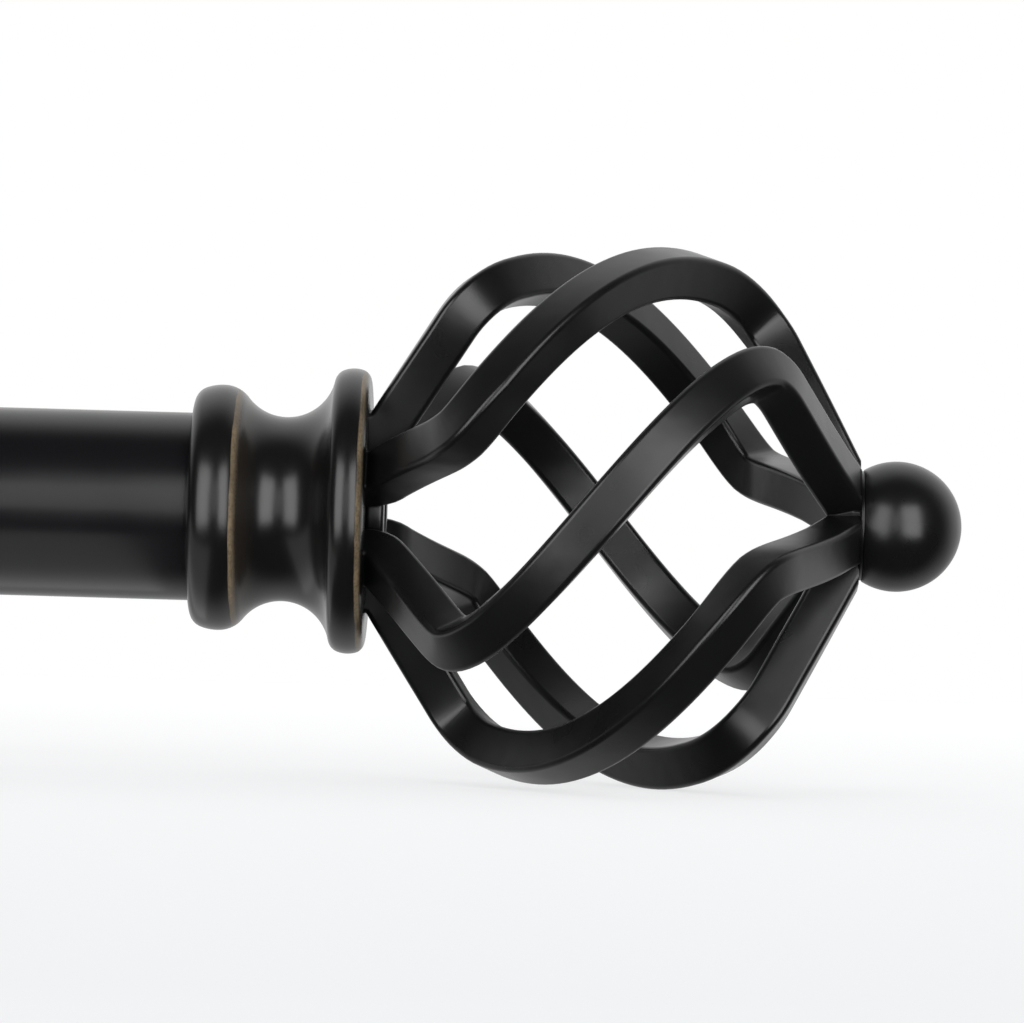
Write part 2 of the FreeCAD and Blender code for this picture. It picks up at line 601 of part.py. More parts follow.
telescoping_rod()
for side, sign in SIDES:
    rod_end(side, sign, "sizes.outer_bore" if sign > 0 else "sizes.inner_bore")
    finial(side, sign)
    bracket(side, sign)
doc.recompute()

for thing in doc.Objects:
    if "Invalid" in thing.State or "Error" in thing.State:
        raise RuntimeError(thing.Name + " failed to build")
for piece in pieces:
    if piece.Shape.isNull() or not piece.Shape.isValid() or len(piece.Shape.Solids) != 1:
        raise RuntimeError(piece.Label + " is not one valid solid")

os.makedirs("parts", exist_ok=True)
for piece in pieces:
    piece.Shape.exportStep("parts/%s.step" % piece.Label)
print("%d pieces" % len(pieces))
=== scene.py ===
"""An adjustable black curtain rod with twisted-basket finials and two wall brackets, ready to hang."""
import json
from math import acos, asin, cos, degrees, pi, radians, sin, sqrt

import bmesh
import bpy
from mathutils import Matrix, Vector

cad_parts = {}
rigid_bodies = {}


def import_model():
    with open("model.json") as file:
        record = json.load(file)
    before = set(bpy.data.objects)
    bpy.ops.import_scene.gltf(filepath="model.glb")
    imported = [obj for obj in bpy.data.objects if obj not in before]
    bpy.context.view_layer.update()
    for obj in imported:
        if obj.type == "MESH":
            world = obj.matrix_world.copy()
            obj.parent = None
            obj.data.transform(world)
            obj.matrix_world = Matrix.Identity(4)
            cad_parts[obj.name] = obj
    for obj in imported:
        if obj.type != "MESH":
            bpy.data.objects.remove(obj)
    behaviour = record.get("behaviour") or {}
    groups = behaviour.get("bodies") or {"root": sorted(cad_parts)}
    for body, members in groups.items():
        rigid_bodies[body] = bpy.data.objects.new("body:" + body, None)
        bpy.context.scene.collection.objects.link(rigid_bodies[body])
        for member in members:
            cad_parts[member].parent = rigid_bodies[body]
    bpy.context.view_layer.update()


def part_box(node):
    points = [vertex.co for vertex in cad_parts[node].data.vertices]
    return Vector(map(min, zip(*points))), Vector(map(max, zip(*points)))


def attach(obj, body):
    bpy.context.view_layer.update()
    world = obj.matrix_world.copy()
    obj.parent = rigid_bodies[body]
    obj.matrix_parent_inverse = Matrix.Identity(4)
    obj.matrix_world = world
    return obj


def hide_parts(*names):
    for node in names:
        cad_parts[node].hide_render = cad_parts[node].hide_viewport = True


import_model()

# --- Tubes -----------------------------------------------------------------------------------------
# Two drawn steel tubes, the thinner sliding in the 1 inch one, powder coated satin black.
# Each is turned round the rod's own axis, X, with its cut ends lightly broken.
MM = 0.001
SIDES = {"right": 1, "left": -1}


def softened(corners, radius, steps=3):
    """A closed outline with each corner cut back by a radius and rounded."""
    outline = []
    for number, corner in enumerate(corners):
        here = Vector(corner)
        before = Vector(corners[number - 1]) - here
        after = Vector(corners[(number + 1) % len(corners)]) - here
        back = min(radius, 0.45 * before.length, 0.45 * after.length)
        start, end = here + before.normalized() * back, here + after.normalized() * back
        for step in range(steps + 1):
            t = step / steps
            outline.append(tuple(start * (1 - t) ** 2 + here * 2 * t * (1 - t) + end * t ** 2))
    return outline


def turned(name, outline, steps=96, at=0.0, sign=1):
    """A closed outline of (x, r) in millimetres spun round the X axis; sign -1 turns it end for end."""
    mesh = bpy.data.meshes.new(name)
    verts, faces, rings = [], [], []
    for x, r in outline:
        if r < 1e-6:
            rings.append([len(verts)])
            verts.append(((at + sign * x) * MM, 0, 0))
        else:
            rings.append(list(range(len(verts), len(verts) + steps)))
            for step in range(steps):
                a = 2 * pi * step / steps
                verts.append(((at + sign * x) * MM, -r * cos(a) * MM, sign * r * sin(a) * MM))
    for number, ring in enumerate(rings):
        following = rings[(number + 1) % len(rings)]
        for step in range(steps):
            ahead = (step + 1) % steps
            corners = [ring[step % len(ring)], ring[ahead % len(ring)],
                       following[ahead % len(following)], following[step % len(following)]]
            corners = list(dict.fromkeys(corners))
            if len(corners) > 2:
                faces.append(corners)
    mesh.from_pydata(verts, [], faces)
    return outward(bpy.data.objects.new(name, mesh))


def outward(piece, angle=35):
    """Link a piece, merge its doubles, point its faces outwards and shade it smooth up to an angle."""
    if piece.name not in bpy.context.scene.collection.objects:
        bpy.context.scene.collection.objects.link(piece)
    work = bmesh.new()
    work.from_mesh(piece.data)
    bmesh.ops.remove_doubles(work, verts=work.verts, dist=1e-6)
    bmesh.ops.recalc_face_normals(work, faces=work.faces)
    work.to_mesh(piece.data)
    work.free()
    piece.data.polygons.foreach_set("use_smooth", [True] * len(piece.data.polygons))
    piece.data.set_sharp_from_angle(angle=radians(angle))
    return piece


def fixed(piece, body, material, slot, *nodes):
    """Make a piece's modifiers real, give it its finish and let it ride on its body in its nodes' place."""
    if piece.modifiers:
        ready = piece.evaluated_get(bpy.context.evaluated_depsgraph_get())
        mesh = bpy.data.meshes.new_from_object(ready)
        piece.modifiers.clear()
        piece.data = mesh
    piece.data.materials.clear()
    piece.data.materials.append(material)
    piece.data.name = piece.name
    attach(piece, body)
    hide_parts(*nodes)
    return piece


def linear(hexed):
    """An sRGB hex colour as linear RGBA."""
    parts = [int(hexed[i:i + 2], 16) / 255 for i in (1, 3, 5)]
    return tuple(p / 12.92 if p <= 0.04045 else ((p + 0.055) / 1.055) ** 2.4 for p in parts) + (1.0,)


def add(tree, kind, settings=None, **inputs):
    """Add a node. settings are its own properties; inputs are values or other nodes' outputs, by the
    socket's name with _ for a space, or by its number as _0, _1 and so on."""
    made = tree.nodes.new(kind)
    for key, value in (settings or {}).items():
        setattr(made, key, value)
    for key, value in inputs.items():
        plug = made.inputs[int(key[1:])] if key[0] == "_" else made.inputs[key.replace("_", " ")]
        if isinstance(value, bpy.types.NodeSocket):
            tree.links.new(value, plug)
        else:
            plug.default_value = value
    return made


def finish(name, hexed, roughness, metallic=0.0, specular=0.5):
    """A material with one Principled shader, its plain values set on the shader itself."""
    material = bpy.data.materials.new(name)
    material.use_nodes = True
    tree = material.node_tree
    shader = tree.nodes["Principled BSDF"]
    shader.inputs["Base Color"].default_value = linear(hexed)
    shader.inputs["Roughness"].default_value = roughness
    shader.inputs["Metallic"].default_value = metallic
    shader.inputs["Specular IOR Level"].default_value = specular
    place = add(tree, "ShaderNodeTexCoord")
    return material, tree, shader, place.outputs["Object"]


def noise(tree, place, size, detail):
    """Soft random patches of about a size in millimetres, from 0 to 1."""
    return add(tree, "ShaderNodeTexNoise", Vector=place, Scale=1 / (size * MM), Detail=detail).outputs["Fac"]


def spread(tree, value, low, high, to_low=0.0, to_high=1.0, kind="LINEAR"):
    """A value's range mapped to another and clamped; the kind SMOOTHSTEP eases in and out."""
    mapped = add(tree, "ShaderNodeMapRange", {"interpolation_type": kind}, Value=value,
                 From_Min=low, From_Max=high, To_Min=to_low, To_Max=to_high)
    return mapped.outputs["Result"]


def polished(tree, shader, patches, least, most):
    """Roughness that drifts between two values over the surface, in soft patches."""
    tree.links.new(spread(tree, patches, 0.3, 0.7, least, most), shader.inputs["Roughness"])


def uneven(tree, shader, height, strength, depth):
    """Fine relief by a height from 0 to 1, its depth in millimetres."""
    bump = add(tree, "ShaderNodeBump", Strength=strength, Distance=depth * MM, Height=height)
    tree.links.new(bump.outputs["Normal"], shader.inputs["Normal"])


def extent(node):
    """A CAD node's lowest and highest corners at rest, in millimetres."""
    return [[value / MM for value in corner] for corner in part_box(node)]


def ring_section(start, end, outer, bore):
    """The corners of a plain ring's section, or of a solid bar's with a bore of 0."""
    return [(start, outer), (end, outer), (end, bore), (start, bore)]


# powder coat: fine polymer powder melted on; it gives a quiet satin sheen with a very fine orange peel
powder_coat, tree, shader, place = finish("satin black powder coat on steel", "#101012", 0.24)
polished(tree, shader, noise(tree, place, 14, 3.0), 0.21, 0.27)
uneven(tree, shader, noise(tree, place, 1.6, 2.0), 0.12, 0.02)

tube_wall, cut_edge = 0.8, 0.25
face = extent("collar_right")[0][0]
for name, body in (("outer_tube", "rod"), ("inner_tube", "inner_rod")):
    low, high = extent(name)
    corners = ring_section(low[0], high[0], high[2], high[2] - tube_wall)
    tube = turned("tube_" + name, softened(corners, cut_edge), 128)
    fixed(tube, body, powder_coat, "rod_black", name)

# --- Bushes, plugs and spacer ----------------------------------------------------------------------
# Moulded black nylon: the ring in the outer tube's mouth, the glide on the inner tube's hidden end,
# a plug in each rod end and the ring that fills the left collar. All are pressed in.
nylon, tree, shader, place = finish("black moulded nylon", "#1c1c1d", 0.5)
uneven(tree, shader, noise(tree, place, 0.5, 1.0), 0.25, 0.02)

lip_length = 3
bush_outer, bush_bore = 11.85, 11.2
(a, _, _), (b, _, lip) = extent("mouth_bush")
corners = [(a, lip), (a + lip_length, lip), (a + lip_length, bush_outer), (b, bush_outer),
           (b, bush_bore), (a, bush_bore)]
bush = turned("bush_in_tube_mouth", softened(corners, 0.5), 96)
fixed(bush, "rod", nylon, "black_plastic", "mouth_bush")

glide_outer, glide_bore = 10.25, 8.3
(a, _, _), (b, _, lip) = extent("inner_glide")
corners = [(a, glide_outer), (b - lip_length, glide_outer), (b - lip_length, lip), (b, lip),
           (b, glide_bore), (a, glide_bore)]
glide = turned("glide_ring", softened(corners, 0.4), 96)
fixed(glide, "inner_rod", nylon, "black_plastic", "inner_glide")


def ring_of_node(node, bore):
    """The section of a plain ring as long and as wide as its CAD node."""
    (start, _, _), (end, _, outer) = extent(node)
    return ring_section(start, end, outer, bore)


spacer = turned("collar_spacer", softened(ring_of_node("spacer_ring", 11.15), 0.3), 96)
fixed(spacer, "inner_rod", nylon, "black_plastic", "spacer_ring")

tube_of = {"right": "rod", "left": "inner_rod"}
for side in SIDES:
    plug = turned("end_plug_" + side, softened(ring_of_node("plug_" + side, 5.5), 0.4), 96)
    fixed(plug, tube_of[side], nylon, "black_plastic", "plug_" + side)

# --- Threaded inserts and studs --------------------------------------------------------------------
# The finial screws on by an M8 stud, zinc-plated steel, into a turned brass insert in the end plug.
# The stud carries a real 1.25 mm pitch thread; the insert's bore is left plain.
brass, tree, shader, place = finish("turned brass", "#b08d4f", 0.3, metallic=1.0)
lathe_marks = add(tree, "ShaderNodeTexWave", {"bands_direction": "X"}, Vector=place,
                  Scale=1 / (0.5 * MM), Distortion=0.5)
uneven(tree, shader, lathe_marks.outputs["Fac"], 0.1, 0.01)

zinc, tree, shader, place = finish("zinc-plated steel", "#b9bcc0", 0.32, metallic=1.0)
polished(tree, shader, noise(tree, place, 2.5, 3.0), 0.25, 0.42)


def threaded(name, radius, depth, pitch, length, start, ahead, steps=32):
    """A stud with a helical thread, starting at a point and running straight ahead, its ends chamfered."""
    ahead = Vector(ahead)
    one = ahead.orthogonal().normalized()
    two = ahead.cross(one)
    rows = int(length / pitch * 6)
    verts, faces = [], []
    for row in range(rows + 1):
        run = length * row / rows
        taper = max(0.0, depth * 1.1 - min(run, length - run))
        for step in range(steps):
            phase = (run / pitch - step / steps) % 1
            ridge = abs(phase - 0.5) * 2
            r = radius - depth * min(max(ridge * 1.25 - 0.1, 0), 1) - taper * 0.5
            a = 2 * pi * step / steps
            verts.append((Vector(start) + (ahead * run + one * (r * cos(a)) + two * (r * sin(a)))) * MM)
    for row in range(rows):
        for step in range(steps):
            following = (step + 1) % steps
            here, there = row * steps, (row + 1) * steps
            faces.append((here + step, here + following, there + following, there + step))
    faces += [tuple(range(steps)), tuple(range(rows * steps, rows * steps + steps))]
    mesh = bpy.data.meshes.new(name)
    mesh.from_pydata(verts, [], faces)
    return outward(bpy.data.objects.new(name, mesh), 50)


stud_radius, thread_depth, thread_pitch = 4.0, 0.6, 1.25
insert_outer, insert_bore, rib, chamfer = 5.5, 4.08, 5.1, 0.4
for side, sign in SIDES.items():
    (a, _, _), (b, _, _) = extent("insert_" + side)
    section = [(a + chamfer, insert_outer), (b - chamfer, insert_outer), (b, rib), (b, 4.5),
               (b - chamfer, insert_bore), (a + chamfer, insert_bore), (a, 4.5), (a, rib)]
    insert = turned("brass_insert_" + side, section, 64)
    fixed(insert, tube_of[side], brass, "brass_insert", "insert_" + side)
    low, high = extent("stud_" + side)
    start = (low[0] if sign > 0 else high[0], 0, 0)
    stud = threaded("threaded_stud_" + side, stud_radius, thread_depth, thread_pitch, high[0] - low[0],
                    start, (sign, 0, 0))
    fixed(stud, "finial_stud_" + side, zinc, "zinc_steel", "stud_" + side)

# --- Nut and washer --------------------------------------------------------------------------------
# A thin M8 nut on a plain washer pulls the collar against the basket's hub. Zinc-plated steel, seen
# only when the finial is off the rod.
def turns(count):
    """Equal steps round one turn, in radians."""
    return [2 * pi * step / count for step in range(count)]


def as_piece(work, name, angle):
    """A finished bmesh as a piece of its own."""
    mesh = bpy.data.meshes.new(name)
    work.to_mesh(mesh)
    work.free()
    return outward(bpy.data.objects.new(name, mesh), angle)


plain_bore = 4.05
flats, crown_circle, corner_cut = 13.0, 6.4, 0.5
for side in SIDES:
    washer = turned("washer_plate_" + side, softened(ring_of_node("washer_" + side, plain_bore), 0.2), 64)
    fixed(washer, "finial_" + side, zinc, "zinc_steel", "washer_" + side)

    # rings across the nut: a round bore, a round crown at each face and the full hexagon between them
    (a, _, _), (b, _, _) = extent("nut_" + side)
    stations = ((a, plain_bore), (a, crown_circle), (a + corner_cut, None),
                (b - corner_cut, None), (b, crown_circle), (b, plain_bore))
    work = bmesh.new()
    rings = []
    for x, most in stations:
        ring = []
        for angle in turns(60):
            hexagon = flats / 2 / cos((angle + pi / 6) % (pi / 3) - pi / 6)
            r = min(most or hexagon, hexagon)
            ring.append(work.verts.new(Vector((x, -r * sin(angle), r * cos(angle))) * MM))
        rings.append(ring)
    for number, ring in enumerate(rings):
        following = rings[(number + 1) % len(rings)]
        for step in range(len(ring)):
            ahead = (step + 1) % len(ring)
            work.faces.new((ring[step], ring[ahead], following[ahead], following[step]))
    nut = as_piece(work, "thin_nut_" + side, 25)
    fixed(nut, "finial_" + side, zinc, "zinc_steel", "nut_" + side)

# --- Collars ---------------------------------------------------------------------------------------
# A cast and turned collar on each finial: bead, deep hollow and larger bead, sprayed semi-gloss black.
# The paint is rubbed back to dark bronze along the beads' edges.
def arc(x, r, radius, start, end, steps):
    """Points on an arc round (x, r); degrees from the outward direction, towards +x."""
    points = []
    for step in range(steps + 1):
        a = radians(start + (end - start) * step / steps)
        points.append((x + radius * sin(a), r + radius * cos(a)))
    return points


long, bead, hollow, crown = 23.65, 16.6, 12.46, 19.3
# each bead is a shallow arc with tighter ones at its edges; the slopes, in degrees, are where they meet
edge_lean, bead_lean, crown_lean = 21, 4, 15
bead_edge, bead_round, bead_drop = 2.2, 6.4, 4.1
hollow_round, crown_rise, crown_round = 6.65, 1.8, 4.0
edge_cos, edge_sin = cos(radians(edge_lean)), sin(radians(edge_lean))
bead_cos, bead_sin = cos(radians(bead_lean)), sin(radians(bead_lean))
crown_sin = sin(radians(crown_lean))
hollow_centre = hollow + hollow_round
bead_end = bead - bead_round * (1 - bead_cos)
dip = degrees(acos((hollow_centre - bead_end + bead_drop * bead_cos) / (bead_drop + hollow_round)))
dip_sin = sin(radians(dip))
crown_turn = crown - crown_round * (1 - edge_cos)
climb = degrees(acos((hollow_centre - crown_turn + crown_rise * edge_cos) / (crown_rise + hollow_round)))
climb_sin = sin(radians(climb))
hollow_x = bead_edge * (1 - edge_sin) + bead_round * (edge_sin + bead_sin)
hollow_x += bead_drop * (dip_sin - bead_sin) + hollow_round * dip_sin
rim_x = hollow_x + (hollow_round + crown_rise) * climb_sin - crown_rise * edge_sin
rim_x += crown_round * (edge_sin + crown_sin)
crown_rim = (long - rim_x) / (1 - crown_sin)
x, r = 0.0, bead - bead_round * (1 - edge_cos) - bead_edge * edge_cos
profile = [(x, r)]
for radius, start, end, steps in (
        (bead_edge, -90, -edge_lean, 10), (bead_round, -edge_lean, bead_lean, 16),
        (bead_drop, bead_lean, dip, 12), (-hollow_round, dip, -climb, 44),
        (crown_rise, -climb, -edge_lean, 8), (crown_round, -edge_lean, crown_lean, 16),
        (crown_rim, crown_lean, 90, 12)):
    centre = (x - radius * sin(radians(start)), r - radius * cos(radians(start)))
    profile += arc(*centre, radius, start, end, steps)[1:]
    x, r = profile[-1]

# inside, from the basket back to the rod: the stud's hole, the nut's space and the mouth for the tube
hole, web, cavity, mouth, mouth_depth, mouth_edge = 4.2, 13.8, 9.5, 13.0, 6.3, 0.15
inside = [(long, hole), (web, hole), (web, cavity), (mouth_depth, cavity), (mouth_depth, mouth),
          (mouth_edge, mouth), (0, mouth + mouth_edge)]


def maths(tree, operation, *values):
    """One sum on up to three values."""
    numbered = {"_%d" % number: value for number, value in enumerate(values)}
    return add(tree, "ShaderNodeMath", {"operation": operation}, **numbered).outputs[0]


def blended(tree, share, first, second):
    """Two colours mixed by a share from 0 to 1."""
    mix = add(tree, "ShaderNodeMix", {"data_type": "RGBA"}, _0=share, _6=first, _7=second)
    return mix.outputs["Result"]


BLACK = "#100f0f"
lacquer, tree, shader, place = finish("semi-gloss black lacquer over bronze paint", BLACK, 0.26)
split = add(tree, "ShaderNodeSeparateXYZ", Vector=place)
from_face = maths(tree, "MULTIPLY_ADD", maths(tree, "ABSOLUTE", split.outputs["X"]), 1 / MM, -face)
# where the rag caught: uneven round the collar, in patches of 7 mm, with a grain of 0.35 mm
catch = noise(tree, place, 7, 2.0)
grain = noise(tree, place, 0.35, 2.0)
line = maths(tree, "ADD", from_face, maths(tree, "MULTIPLY_ADD", catch, 0.4, -0.2))
# each rubbed band in millimetres from the collar's face: it starts, is full, begins to fade and is gone
bands = []
for start, full, level, gone in ((5.75, 5.87, 6.05, 6.85), (22.65, 22.85, 23.2, 23.6)):
    starting = spread(tree, line, start, full, kind="SMOOTHSTEP")
    stopping = spread(tree, line, level, gone, 1.0, 0.0, "SMOOTHSTEP")
    bands.append(maths(tree, "MULTIPLY", starting, stopping))
patch = spread(tree, catch, 0.3, 0.65, 0.35, 1.0)
specks = spread(tree, grain, 0.3, 0.6, 0.45, 1.0)
rubbed = maths(tree, "MULTIPLY", maths(tree, "MULTIPLY", maths(tree, "ADD", *bands), patch), specks)
tint = blended(tree, rubbed, linear(BLACK), linear("#75664f"))
# a thin brown haze of the same paint spreads from the bead into the hollow
haze_start, haze_end = 5.9, 9.5
haze = spread(tree, line, haze_start, haze_end, 0.12, 0.0, "SMOOTHSTEP")
veil = maths(tree, "MULTIPLY", haze, maths(tree, "GREATER_THAN", line, haze_start))
tree.links.new(blended(tree, veil, tint, linear("#665a4b")), shader.inputs["Base Color"])
tree.links.new(spread(tree, rubbed, 0.0, 1.0, 0.26, 0.4), shader.inputs["Roughness"])
uneven(tree, shader, grain, 0.12, 0.02)

for side, sign in SIDES.items():
    collar = turned("collar_turning_" + side, profile + inside, 160, sign * face, sign)
    fixed(collar, "finial_" + side, lacquer, "collar_black", "collar_" + side)

# --- Baskets ---------------------------------------------------------------------------------------
# Six 6 mm square steel bars, bent and twisted hot, welded round a hub disc and mitred together at the
# ball. Dipped in satin black enamel, which rounds every edge.
enamel, tree, shader, place = finish("satin black enamel on forged steel", "#0f0f10", 0.29)
polished(tree, shader, noise(tree, place, 9, 2.0), 0.26, 0.34)
uneven(tree, shader, noise(tree, place, 4, 1.0), 0.35, 0.12)

bar, edge, count = 6.0, 0.8, 6
# the centre line's bends and slopes, from the hub to the ball
hub_x, hub_line, widest_x, belly, belly_arc = long, 10.6, 56.5, 34.5, 38.0
belly_left, belly_right, near_round, far_round = radians(23), radians(20), 14.5, 17.0
flank_in, flank_out, hub_bend = radians(58), radians(63), 3.2
# how the line turns round the axis: degrees each way, over what length, and how sharply it stops
twist, reach, crisp, lean_back, phase = 43.5, 21.5, 12, 0.25, radians(3.5)
lean_length, past_ball = 18, 36
end_x = 90.05


def bar_path(step_length):
    """Points (x, r, angle, slope) along a bar's centre line, from the hub to past the ball's neck."""
    climb = belly - hub_line - belly_arc * (1 - cos(belly_left))
    climb -= near_round * (cos(belly_left) - cos(flank_in))
    flank = (climb - hub_bend * (1 - cos(flank_in))) / sin(flank_in)
    run = belly_arc * sin(belly_left) + near_round * (sin(flank_in) - sin(belly_left))
    run += flank * cos(flank_in) + hub_bend * sin(flank_in)
    legs = ((widest_x - hub_x - run, 0), (hub_bend * flank_in, flank_in), (flank, 0),
            (near_round * (flank_in - belly_left), belly_left - flank_in),
            (belly_arc * belly_left, -belly_left), (belly_arc * belly_right, -belly_right),
            (far_round * (flank_out - belly_right), belly_right - flank_out), (past_ball, 0))
    to_belly = sum(length for length, turn in legs[:5])
    x, r, slope, gone = hub_x, hub_line, 0.0, 0.0
    for length, turn in legs:
        steps = max(1, round(length / step_length))
        for step in range(steps):
            u = (gone - to_belly) / reach
            angle = twist * u / (1 + abs(u) ** crisp) ** (1 / crisp)
            past = max(abs(gone - to_belly) - reach, 0)
            angle -= lean_back * min(past, lean_length) * (1 if u > 0 else -1)
            yield x, r, radians(angle) + phase, slope
            middle, piece = slope + turn / steps / 2, length / steps
            if turn:
                piece *= sin(abs(turn) / steps / 2) / (abs(turn) / steps / 2)
            x, r = x + piece * cos(middle), r + piece * sin(middle)
            slope, gone = slope + turn / steps, gone + length / steps


points = [p for p in bar_path(0.9) if p[0] < end_x + 5]
spots = [Vector((x, -r * cos(a), r * sin(a))) * MM for x, r, a, slope in points]
bar_line = bpy.data.meshes.new("bar_line")
bar_line.from_pydata(spots, [(i, i + 1) for i in range(len(spots) - 1)], [])
facing = bar_line.attributes.new("outward", "FLOAT_VECTOR", "POINT")
for number, (x, r, a, slope) in enumerate(points):
    out = Vector((-sin(slope), -cos(slope) * cos(a), cos(slope) * sin(a)))
    ahead = spots[min(number + 1, len(spots) - 1)] - spots[max(number - 1, 0)]
    facing.data[number].vector = out - ahead * (out.dot(ahead) / ahead.dot(ahead))


def node_tree(name, inputs):
    """An empty Geometry Nodes tree with named inputs; also gives its input node and output node."""
    group = bpy.data.node_groups.new(name, "GeometryNodeTree")
    for label, kind in inputs:
        group.interface.new_socket(label, in_out="INPUT", socket_type=kind)
    group.interface.new_socket("Geometry", in_out="OUTPUT", socket_type="NodeSocketGeometry")
    return group, group.nodes.new("NodeGroupInput"), group.nodes.new("NodeGroupOutput")


def grown(piece, group, **values):
    """Run a Geometry Nodes tree on a piece and keep the result as its plain mesh."""
    step = piece.modifiers.new(group.name, "NODES")
    step.node_group = group
    for item in group.interface.items_tree:
        key = item.name.replace(" ", "_")
        if item.in_out == "INPUT" and key in values:
            step[item.identifier] = values[key]
    bpy.context.view_layer.update()
    ready = piece.evaluated_get(bpy.context.evaluated_depsgraph_get())
    mesh = bpy.data.meshes.new_from_object(ready)
    piece.modifiers.clear()
    piece.data = mesh
    return piece


# a square, its corners rounded, swept along a line that says which way is outward
sweep, given, result = node_tree("square bar", (
    ("Line", "NodeSocketGeometry"), ("Side", "NodeSocketFloat"), ("Edge", "NodeSocketFloat"),
    ("Paint", "NodeSocketMaterial")))
path = add(sweep, "GeometryNodeMeshToCurve", Mesh=given.outputs["Line"])
way = add(sweep, "GeometryNodeInputNamedAttribute", {"data_type": "FLOAT_VECTOR"}, Name="outward")
path = add(sweep, "GeometryNodeSetCurveNormal", {"mode": "FREE"}, Curve=path.outputs[0],
           Normal=way.outputs[0])
square = add(sweep, "GeometryNodeCurvePrimitiveQuadrilateral", Width=given.outputs["Side"],
             Height=given.outputs["Side"])
square = add(sweep, "GeometryNodeFilletCurve", {"mode": "POLY"}, Curve=square.outputs[0], Count=4,
             Radius=given.outputs["Edge"])
swept = add(sweep, "GeometryNodeCurveToMesh", Curve=path.outputs[0], Profile_Curve=square.outputs[0],
            Fill_Caps=True)


def completed(group, geometry, given, result):
    """End a Geometry Nodes tree: make its instances real, give them the paint and send them out."""
    real = add(group, "GeometryNodeRealizeInstances", Geometry=geometry)
    dressed = add(group, "GeometryNodeSetMaterial", Geometry=real.outputs[0],
                  Material=given.outputs["Paint"])
    group.links.new(dressed.outputs[0], result.inputs["Geometry"])


completed(sweep, swept.outputs[0], given, result)

one_bar = bpy.data.objects.new("basket_bar", bar_line)
bpy.context.scene.collection.objects.link(one_bar)
grown(one_bar, sweep, Side=bar * MM, Edge=edge * MM, Paint=enamel)

# mitre: near the ball each bar keeps to its own sixth, and is cut flat at the neck
mitre_length = 13
work = bmesh.new()
work.from_mesh(one_bar.data)
bmesh.ops.remove_doubles(work, verts=work.verts, dist=1e-7)
end_angle = [a for x, r, a, slope in points if x < end_x][-1]
for turn in (1, -1, 0):
    if turn:
        a = end_angle + turn * pi / count
        away_from = Vector((0, -turn * -sin(a), turn * cos(a)))
        through = Vector((0, 0, 0))
    else:
        away_from, through = Vector((1, 0, 0)), Vector((end_x * MM, 0, 0))
    faces = [f for f in work.faces if f.calc_center_median().x > (end_x - mitre_length) * MM]
    edges = list(dict.fromkeys(e for f in faces for e in f.edges))
    verts = list(dict.fromkeys(v for f in faces for v in f.verts))
    cut = bmesh.ops.bisect_plane(work, geom=faces + edges + verts, dist=1e-7, plane_co=through,
                                 plane_no=away_from, clear_outer=True)
    rim = [e for e in cut["geom_cut"] if isinstance(e, bmesh.types.BMEdge) and e.is_boundary]
    if rim:
        bmesh.ops.holes_fill(work, edges=rim, sides=0)
bmesh.ops.recalc_face_normals(work, faces=work.faces)
work.to_mesh(one_bar.data)
work.free()

# the mitred bar repeated round the rod's axis
ring_of, given, result = node_tree("ring of bars", (
    ("Bar", "NodeSocketGeometry"), ("Count", "NodeSocketInt"), ("Paint", "NodeSocketMaterial")))


def round_about(group, given, amount, axis, piece):
    """Copies of a piece, one at each equal share of a turn round an axis through the origin."""
    stations = add(group, "GeometryNodePoints", Count=given.outputs[amount])
    index = add(group, "GeometryNodeInputIndex").outputs[0]
    angle = maths(group, "MULTIPLY", index, maths(group, "DIVIDE", 2 * pi, given.outputs[amount]))
    turn = add(group, "FunctionNodeAxisAngleToRotation", Axis=axis, Angle=angle)
    placed = add(group, "GeometryNodeInstanceOnPoints", Points=stations.outputs[0], Instance=piece,
                 Rotation=turn.outputs[0])
    return placed.outputs[0]


bars_round = round_about(ring_of, given, "Count", (1, 0, 0), given.outputs["Bar"])
completed(ring_of, bars_round, given, result)

for side, sign in SIDES.items():
    basket = bpy.data.objects.new("basket_" + side, one_bar.data.copy())
    bpy.context.scene.collection.objects.link(basket)
    grown(basket, ring_of, Count=count, Paint=enamel)
    end_for_end = Matrix.Rotation(0 if sign > 0 else pi, 4, "Z")
    basket.data.transform(Matrix.Translation((sign * face * MM, 0, 0)) @ end_for_end)
    outward(basket, 40)
    even = basket.modifiers.new("even shading", "WEIGHTED_NORMAL")
    even.keep_sharp = True
    bars = ["cage_bar_%d_%s" % (number, side) for number in range(1, count + 1)]
    fixed(basket, "finial_" + side, enamel, "finial_black", *bars)
bpy.data.objects.remove(one_bar)

# --- Hub, neck and ball ----------------------------------------------------------------------------
# The basket's hub is a steel disc and its tip a solid ball, set on a thin disc that closes the bars'
# ends. All are welded to the bars and dipped with them; the thin disc shows as a fine dark line.
hub_end, hub_radius = 26.05, 7.6
neck_end, neck_radius = 90.55, 7.4
ball_x, ball_radius = 95.05, 8.8
hub_section = softened(ring_section(hub_x, hub_end, hub_radius, plain_bore), 0.6)
neck_section = softened(ring_section(end_x, neck_end, neck_radius, 0), 0.12)
flat = degrees(asin((neck_end - ball_x) / ball_radius))
ball_section = [(neck_end, 0)] + arc(ball_x, 0, ball_radius, flat, 89.99, 60)[:-1]
ball_section.append((ball_x + ball_radius, 0))
for side, sign in SIDES.items():
    for name, section, node in (("basket_hub_", hub_section, "hub_disc_"),
                                ("ball_neck_ring_", neck_section, "ball_neck_"),
                                ("ball_tip_", ball_section, "ball_")):
        piece = turned(name + side, section, 96, sign * face, sign)
        fixed(piece, "finial_" + side, enamel, "finial_black", node + side)

